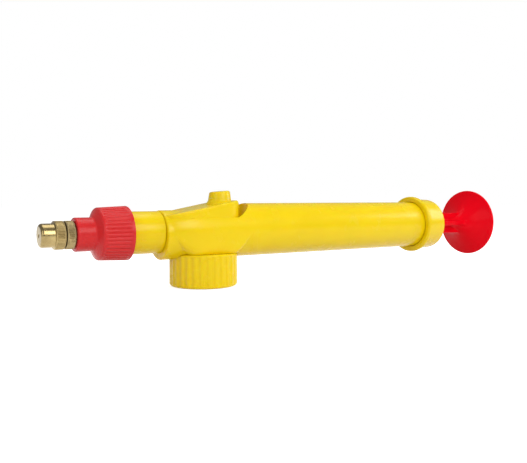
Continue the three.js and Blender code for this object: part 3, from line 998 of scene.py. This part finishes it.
    def build(self) -> None:
        """Makes the shell and the parts of the outlet valve and the barrel's seal."""
        fit(self.shell(), Slot.YELLOW, "body", "pump_body", "barrel", sharp=32)
        low, top = LAYOUT.rise("valve_plug")
        head = top - self.plug_head
        pocket = LAYOUT.rise("outlet_spring")[1] + 0.1
        plug = turned("valve_plug_head", [
            (0, pocket, 0), (2.8, pocket, 0.1), (2.8, low, 0.1), (3.7, low, 0.2), (3.7, head, 0),
            (self.plug_radius, head, 0), (5.2, top, 1.1), (0, top, 0),
        ], Axis.VALVE, facets=96)
        self.slope_top(plug, head, top)
        fit(plug, Slot.YELLOW, "body", "valve_plug")
        start, end = LAYOUT.rise("valve_plug_seal")
        fit(turned("plug_seal", ring_corners(3.85, 5.2, start, end, 0.2), Axis.VALVE, True, 64),
            Slot.RUBBER, "body", "valve_plug_seal")
        start, end = LAYOUT.rise("outlet_spring")
        fit(coil("valve_spring", 2.1, 0.34, start + 0.35, end - 0.35, 4),
            Slot.STEEL, "body", "outlet_spring")
        start, end = LAYOUT.rise("outlet_ball")
        fit(ball("outlet_valve_ball", (end - start) / 2, (start + end) / 2, Axis.VALVE),
            Slot.STEEL, "outlet_ball", "outlet_ball")
        start, end = LAYOUT.span("barrel_seal")
        fit(turned("barrel_end_seal", ring_corners(11.8, 12.5, start + 0.2, end, 0.2), closed=True),
            Slot.RUBBER, "body", "barrel_seal")


# ---- Bottle connection ---------------------------------------------------------------------
@dataclass
class BottleConnection:
    """The ribbed screw cap, the seat that holds it on, its gasket and the inlet ball."""

    radius: float = 17.0
    ribs: int = 30
    rib_depth: float = 0.4
    root: float = 13.9
    crest: float = 12.9
    pitch: float = 3.2
    wall: float = 2.2
    hole: float = 9.8

    def cap(self) -> bpy.types.Object:
        """Cap with upright ribs outside and a screw thread inside.

        Formula: outside, the radius is less the rib depth where a squared-off cosine of the angle
        dips, fading out at the top and bottom. Inside, it is less the thread's height on a ridge
        that climbs one pitch for each turn.

        Returns:
            The cap.
        """
        top = LAYOUT.rise("bottle_cap")[1]
        under = top - self.wall
        corners = [
            (self.root, 0, 0.5), (self.radius, 0, 1.5), (self.radius, top, 0.9),
            (self.hole, top, 0.3), (self.hole, under, 0.3), (self.root, under, 0.8),
        ]
        profile = dense(rounded(corners, closed=True), 0.4, closed=True)
        radius, height = profile[:, :1], profile[:, 1:]
        angle = full_turn(self.ribs * 14)
        outside = (radius > self.radius - 1.6) * ramp(height, 0.2, 2.0) * ramp(top - height, 0.5, 1.6)
        wave = np.tanh(2.0 * np.cos(self.ribs * angle)) / math.tanh(2.0)
        ribs = outside * self.rib_depth * (0.5 - 0.5 * wave)
        inside = np.abs(radius - self.root) < 0.05
        inside = inside * ramp(height, 1.2, 2.6) * ramp(under - height, 1.5, 3.0)
        phase = (height / self.pitch - angle / (2 * math.pi)) % 1.0
        ridge = np.clip(1.6 - np.abs(phase - 0.5) * 6, 0, 1)
        return polar_surface("screw_cap", radius - ribs - inside * (self.root - self.crest) * ridge,
                             height, angle, Axis.CAP, closed=True)

    def build(self) -> None:
        """Makes the four pieces."""
        fit(self.cap(), Slot.YELLOW, "bottle_cap", "bottle_cap", sharp=50)
        bottom, seat = LAYOUT.rise("inlet_seat")
        flange = bottom + 1.8
        fit(turned("valve_seat", [
            (3.6, bottom, 0.3), (12.4, bottom, 0.3), (12.4, flange, 0.3), (6, flange, 0.2),
            (6, seat, 0.3), (2.3, seat, 0.2), (2.3, seat - 0.8, 0), (3.6, seat - 0.8, 0),
        ], Axis.CAP, True), Slot.NATURAL, "body", "inlet_seat")
        start, end = LAYOUT.rise("bottle_gasket")
        fit(turned("cap_gasket", ring_corners(6, 12.4, start, end, 0.25), Axis.CAP, True),
            Slot.RUBBER, "body", "bottle_gasket")
        start, end = LAYOUT.rise("inlet_ball")
        fit(ball("inlet_valve_ball", (end - start) / 2, (start + end) / 2, Axis.CAP),
            Slot.STEEL, "inlet_ball", "inlet_ball")


# ---- Front end -----------------------------------------------------------------------------
@dataclass
class FrontEnd:
    """The outlet tube, the ribbed nut with its gasket, and the brass nozzle."""

    tube_radius: float = 10.15
    nut_ribs: int = 40
    nut_depth: float = 0.45
    knurls: int = 56
    knurl_depth: float = 0.28

    def nut(self) -> bpy.types.Object:
        """Nut and neck in one moulding, with fine ribs round its wide part.

        Formula: the radius is less the rib depth where the cosine of the angle dips, between the
        shoulder and a smooth band at the rear.

        Returns:
            The nut.
        """
        front, rear = LAYOUT.span("front_nut")
        floor = rear - 13.3
        corners = [
            (5.2, front, 0.3), (7.7, front, 0.6), (7.7, front + 8.1, 1.0), (12.1, front + 10.3, 1.2),
            (12.75, rear, 0.5), (9.9, rear, 0.3), (9.9, floor, 0.3), (5.2, floor, 0.3),
        ]
        profile = dense(rounded(corners, closed=True), 0.5, closed=True)
        radius, along = profile[:, :1], profile[:, 1:]
        angle = full_turn(self.nut_ribs * 12)
        band = (radius > 11.0) * ramp(along, front + 10.6, front + 12.4) * ramp(rear - along, 1.5, 2.4)
        wave = np.abs(np.cos(self.nut_ribs * angle / 2)) ** 0.8
        ribbed = radius - band * self.nut_depth * (1 - wave)
        return polar_surface("front_nut_shell", ribbed, along, angle, closed=True)

    def knurled(self, name: str, corners: Sequence[Corner], start: float, end: float,
                least: float, closed: bool) -> bpy.types.Object:
        """Turned brass with a straight knurl on part of its length.

        Formula: the radius is less the knurl depth times a triangle wave of the angle, between
        start and end along the pump and outside the least radius.

        Args:
            name: the piece's name.
            corners: the profile's corners.
            start: where the knurl starts.
            end: where it ends.
            least: radius above which a point is on the knurl.
            closed: whether the profile is a loop.

        Returns:
            The piece.
        """
        profile = dense(rounded(corners, closed), 0.35, closed)
        radius, along = profile[:, :1], profile[:, 1:]
        angle = full_turn(self.knurls * 8)
        band = (radius > least) * ramp(along, start, start + 0.5) * ramp(end - along, 0, 0.5)
        wave = np.abs((self.knurls * angle / (2 * math.pi)) % 1.0 * 2 - 1)
        return polar_surface(name, radius - band * self.knurl_depth * wave, along, angle, closed=closed)

    def build(self) -> None:
        """Makes the six pieces."""
        start, end = LAYOUT.span("outlet_tube")
        collar = LAYOUT.span("pump_body")[0]
        nut_rear = LAYOUT.span("front_nut")[1]
        fit(turned("outlet_pipe", [
            (3, start, 0.2), (9.6, start, 0.4), (9.6, nut_rear + 0.3, 0),
            (self.tube_radius, nut_rear + 0.3, 0.3), (self.tube_radius, collar - 0.2, 0.2),
            (8.5, collar - 0.2, 0), (8.5, end, 0.3), (3, end, 0.2),
        ], closed=True), Slot.YELLOW, "body", "outlet_tube")
        fit(self.nut(), Slot.RED, "body", "front_nut", sharp=50)
        start, end = LAYOUT.span("front_gasket")
        fit(turned("front_seal", ring_corners(3.3, 9.6, start, end, 0.25), closed=True),
            Slot.RUBBER, "body", "front_gasket")
        self.build_nozzle()

    def build_nozzle(self) -> None:
        """Makes the stem with its needle, the turning tip and the ring that seals them."""
        needle, shank = LAYOUT.span("nozzle_stem")
        neck = LAYOUT.span("front_nut")[0]
        ring, spigot = neck - 4.2, neck - 8.8
        fit(self.knurled("brass_stem", [
            (0, needle, 0), (0.4, needle, 0.1), (1.6, spigot, 0), (3, spigot, 0.2), (3, ring, 0),
            (6.35, ring, 0.45), (6.35, neck - 0.3, 0.45), (4.9, neck - 0.3, 0), (4.9, shank, 0.3),
            (1.6, shank, 0.2), (1.6, spigot + 0.9, 0), (0, spigot + 0.9, 0),
        ], ring + 0.3, neck - 0.6, 5.9, False), Slot.KNURL, "body", "nozzle_stem", sharp=45)
        front, rear = LAYOUT.span("nozzle_tip")
        shoulder = rear - KNURL_LENGTH
        fit(self.knurled("brass_tip", [
            (0.8, front, 0.2), (5.35, front, 1.3), (5.35, shoulder, 0.25), (6.35, shoulder, 0.5),
            (6.35, rear, 0.5), (4, rear, 0.3), (4, front + 4.8, 0), (2.4, front + 4.8, 0),
            (0.8, front + 1.4, 0),
        ], shoulder + 0.3, rear - 0.3, 5.9, True), Slot.BRASS, "nozzle_tip", "nozzle_tip", sharp=45)
        start, end = LAYOUT.span("nozzle_o_ring")
        fit(torus("nozzle_ring", 3.5, 0.36, (start + end) / 2),
            Slot.RUBBER, "nozzle_carriage", "nozzle_o_ring")


# ---- Rear end ------------------------------------------------------------------------------
@dataclass
class RearEnd:
    """The end cap over the barrel and the guide that carries the rod."""

    flange: float = 17.2
    side: float = 15.7
    side_rear: float = 15.2

    def build(self) -> None:
        """Makes both pieces."""
        front, rear = LAYOUT.span("end_cap")
        bush_front, bush_rear = LAYOUT.span("rod_guide")
        barrel_end = LAYOUT.span("barrel")[1]
        step = barrel_end + 2.1
        fit(turned("barrel_end_cap", [
            (14.05, front, 0.3), (self.flange, front, 1.2), (self.flange, front + 3, 0.9),
            (self.side, front + 3.2, 0.5), (self.side_rear, rear, 3.4), (7.25, rear, 0.4),
            (7.25, rear - 2.2, 0.2), (13.3, rear - 2.2, 0.5), (13.3, step, 0.3), (14.05, step, 0),
        ], closed=True, facets=192), Slot.YELLOW, "body", "end_cap")
        fit(turned("rod_bush", [
            (6.95, bush_front, 0.4), (11.45, bush_front, 0.4), (11.45, barrel_end + 0.1, 0),
            (13.75, barrel_end + 0.1, 0.2), (13.75, barrel_end + 1.8, 0.2), (9, barrel_end + 1.8, 0.4),
            (9, bush_rear, 0.4), (6.95, bush_rear, 0.4),
        ], closed=True), Slot.NATURAL, "body", "rod_guide")


# ---- Plunger -------------------------------------------------------------------------------
@dataclass
class Plunger:
    """The cross-shaped rod that flares into the handle, and the piston on its front end."""

    rod: float = 6.65
    blade: float = 1.3
    rim: float = 21.3
    rim_width: float = 2.2
    rim_edge: float = 0.9
    flare_start: float = 181.0
    flare_power: float = 2.6
    core: float = 2.2
    hub: float = 5.5
    hub_length: float = 14.0

    def section(self, angle: np.ndarray) -> np.ndarray:
        """Radius of the rod's cross section.

        Formula: two blades at right angles, each the nearer of its flat side, half the blade over
        the sine of the angle, and its round edge; the larger of the two, with filleted roots.

        Args:
            angle: angles from the top.

        Returns:
            The radii.
        """
        upright = soft_min(self.blade / np.maximum(np.abs(np.sin(angle)), 1e-6), self.rod, 0.5)
        level = soft_min(self.blade / np.maximum(np.abs(np.cos(angle)), 1e-6), self.rod, 0.5)
        return soft_max(upright, level, 0.8)

    def rod_and_handle(self) -> bpy.types.Object:
        """Rod from its hub, through the cross section, into a trumpet that ends in the rim.

        Formula: the radius is the larger of the cross section, the hub over its length, and a
        flare that grows from the core to the rim with a power of the distance.

        Returns:
            The piece.
        """
        front, rear = LAYOUT.span("plunger_rod")
        edge = self.rim_edge
        disc = rear - self.rim_width
        coarse = np.linspace(front + 0.4, self.flare_start, 60)
        fine = self.flare_start + (disc - self.flare_start) * np.sin(np.linspace(0.02, math.pi / 2, 72))
        x = np.concatenate([coarse, fine])[:, None]
        angle = full_turn(360)
        share = np.clip((x - self.flare_start) / (disc - self.flare_start), 0, 1)
        flare = self.core + (self.rim - edge - self.core) * share ** self.flare_power
        hub = self.hub * (1 - ramp(x, front + self.hub_length - 1, front + self.hub_length + 0.5))
        radius = soft_max(soft_max(self.section(angle), hub, 0.6), flare, 1.6)
        arc = np.linspace(0, math.pi, 13)[:, None]
        half = self.rim_width / 2
        lip = self.rim - edge + edge * np.sin(arc)
        lip_x = rear - half - half * np.cos(arc)
        flat = 0 * angle
        last = radius[-1:]
        lip_full = lip + (last - (self.rim - edge)) * np.clip(1 - 2 * arc / math.pi, 0, 1)
        radius = np.concatenate([flat, self.hub - 0.4 + flat, radius, lip_full[1:] + flat, flat])
        along = np.concatenate([front + flat, front + flat, x + flat, lip_x[1:] + flat, rear + flat])
        return polar_surface("rod_and_handle", radius, along, angle)

    def build(self) -> None:
        """Makes the rod, the piston, its seal and its screw."""
        fit(self.rod_and_handle(), Slot.HANDLE, "plunger", "plunger_rod", sharp=50)
        start, end = LAYOUT.span("piston")
        seal_start, seal_end = LAYOUT.span("piston_seal")
        fit(turned("piston_head", [
            (2.1, start + 2.6, 0.1), (4.5, start + 2.6, 0.2), (4.5, start, 0.3), (11.3, start, 0.6),
            (11.3, seal_start - 0.1, 0.2), (9.3, seal_start - 0.1, 0.2), (9.3, seal_end + 0.1, 0.2),
            (11.3, seal_end + 0.1, 0.2), (11.3, end, 0.6), (2.1, end, 0.2),
        ], closed=True), Slot.NATURAL, "plunger", "piston")
        fit(turned("piston_ring", ring_corners(9.4, 11.6, seal_start, seal_end, 0.9), closed=True),
            Slot.RUBBER, "plunger", "piston_seal")
        start, end = LAYOUT.span("piston_screw")
        fit(turned("piston_bolt", [
            (0, start + 1.1, 0), (0.9, start + 1.1, 0.1), (1.3, start, 0.3), (4, start, 0.6),
            (4, start + 2.2, 0.2), (1.8, start + 2.2, 0.1), (1.8, end, 0.4), (0, end, 0),
        ], facets=64), Slot.STEEL, "plunger", "piston_screw")


# ---- Studio --------------------------------------------------------------------------------
@dataclass(frozen=True)
class Lamp:
    """A square soft light aimed at the middle of the pump."""

    name: str
    place: tuple[float, float, float]
    size: float
    power: float

    def build(self) -> None:
        """Hangs the lamp."""
        light = bpy.data.lights.new(self.name, "AREA")
        light.size = self.size
        light.energy = self.power
        lamp = bpy.data.objects.new(self.name, light)
        lamp.location = self.place
        lamp.rotation_euler = (Vector((0, 0, 0.02)) - lamp.location).to_track_quat("-Z", "Y").to_euler()
        bpy.context.scene.collection.objects.link(lamp)


@dataclass
class Studio:
    """White floor and surroundings, soft lamps, and the camera."""

    azimuth: float = -33.28
    elevation: float = 3.08
    distance: float = 331.2
    aim: tuple[float, float] = (36.3, 26.0)
    lens: float = 42.24
    sensor: float = 36.0
    floor_white: float = 0.8
    floor_lift: float = 0.75
    floor_reach: float = 3.0
    floor_gap: float = 0.0002
    room_light: float = 0.35
    lamps: tuple[Lamp, ...] = (
        Lamp("key_lamp", (0.12, -0.8, 0.5), 0.5, 3.8),
        Lamp("side_lamp", (0.85, -0.3, 0.4), 0.4, 2.5),
        Lamp("fill_lamp", (-0.9, -0.35, 0.35), 0.5, 1.6),
        Lamp("top_lamp", (0.0, 0.2, 0.9), 0.6, 2.5),
        Lamp("spark_lamp", (-0.36, -0.85, 0.34), 0.07, 0.5),
    )

    def camera(self) -> None:
        """Sets the camera on a line of sight through the aim, a place on the pump's middle plane."""
        turn, tilt = math.radians(self.azimuth), math.radians(self.elevation)
        away = Vector((math.sin(turn) * math.cos(tilt), -math.cos(turn) * math.cos(tilt), math.sin(tilt)))
        aim = Vector((LAYOUT.cap_x + self.aim[0] * MM, 0, self.aim[1] * MM))
        camera = bpy.data.objects.new("camera", bpy.data.cameras.new("camera"))
        camera.data.lens = self.lens
        camera.data.sensor_width = self.sensor
        camera.data.clip_start = 0.01
        camera.location = aim + away * self.distance * MM
        camera.rotation_euler = (-away).to_track_quat("-Z", "Y").to_euler()
        bpy.context.scene.collection.objects.link(camera)
        bpy.context.scene.camera = camera

    def floor(self) -> None:
        """Lays the floor. For the camera it is lifted to white, and it keeps the pump's shadow."""
        bench = NodeBench("floor")
        tree = bench.tree
        bench.shader.inputs["Base Color"].default_value = (self.floor_white,) * 3 + (1,)
        bench.shader.inputs["Roughness"].default_value = 0.9
        bench.shader.inputs["Specular IOR Level"].default_value = 0.0
        path = bench.node("ShaderNodeLightPath")
        seen = tree.nodes.new("ShaderNodeMath")
        seen.operation = "MAXIMUM"
        bench.link(path.outputs["Is Camera Ray"], seen.inputs[0])
        bench.link(path.outputs["Is Glossy Ray"], seen.inputs[1])
        lift = tree.nodes.new("ShaderNodeMath")
        lift.operation = "MULTIPLY"
        lift.inputs[1].default_value = self.floor_lift
        bench.link(seen.outputs[0], lift.inputs[0])
        glow = bench.node("ShaderNodeEmission")
        bench.link(lift.outputs[0], glow.inputs["Strength"])
        both = tree.nodes.new("ShaderNodeAddShader")
        bench.link(bench.shader.outputs[0], both.inputs[0])
        bench.link(glow.outputs[0], both.inputs[1])
        bench.link(both.outputs[0], tree.nodes["Material Output"].inputs["Surface"])
        mesh = bpy.data.meshes.new("floor")
        far = self.floor_reach
        corners = [(-far, -far, 0), (far, -far, 0), (far, far, 0), (-far, far, 0)]
        mesh.from_pydata(corners, [], [(0, 1, 2, 3)])
        mesh.transform(Matrix.Translation((0, 0, -self.floor_gap)))
        mesh.materials.append(bench.material)
        floor = bpy.data.objects.new("floor", mesh)
        bpy.context.scene.collection.objects.link(floor)

    def room(self) -> None:
        """Surrounds the pump with even light; what the camera sees past the floor is white."""
        world = bpy.data.worlds.new("room")
        world.use_nodes = True
        bpy.context.scene.world = world
        tree = world.node_tree
        background = tree.nodes["Background"]
        background.inputs["Color"].default_value = (1, 1, 1, 1)
        path = tree.nodes.new("ShaderNodeLightPath")
        strength = tree.nodes.new("ShaderNodeMapRange")
        strength.inputs["To Min"].default_value = self.room_light
        strength.inputs["To Max"].default_value = 1.0
        tree.links.new(path.outputs["Is Camera Ray"], strength.inputs["Value"])
        tree.links.new(strength.outputs["Result"], background.inputs["Strength"])

    def build(self) -> None:
        """Makes the whole studio."""
        bpy.context.scene.view_settings.view_transform = "Standard"
        self.camera()
        self.floor()
        self.room()
        for lamp in self.lamps:
            lamp.build()


def main() -> None:
    """Builds the studio and the sub-assemblies."""
    logging.basicConfig(level=logging.INFO, format="%(message)s")
    Studio().build()
    Housing().build()
    BottleConnection().build()
    FrontEnd().build()
    RearEnd().build()
    Plunger().build()


if __name__ == "__main__":
    main()
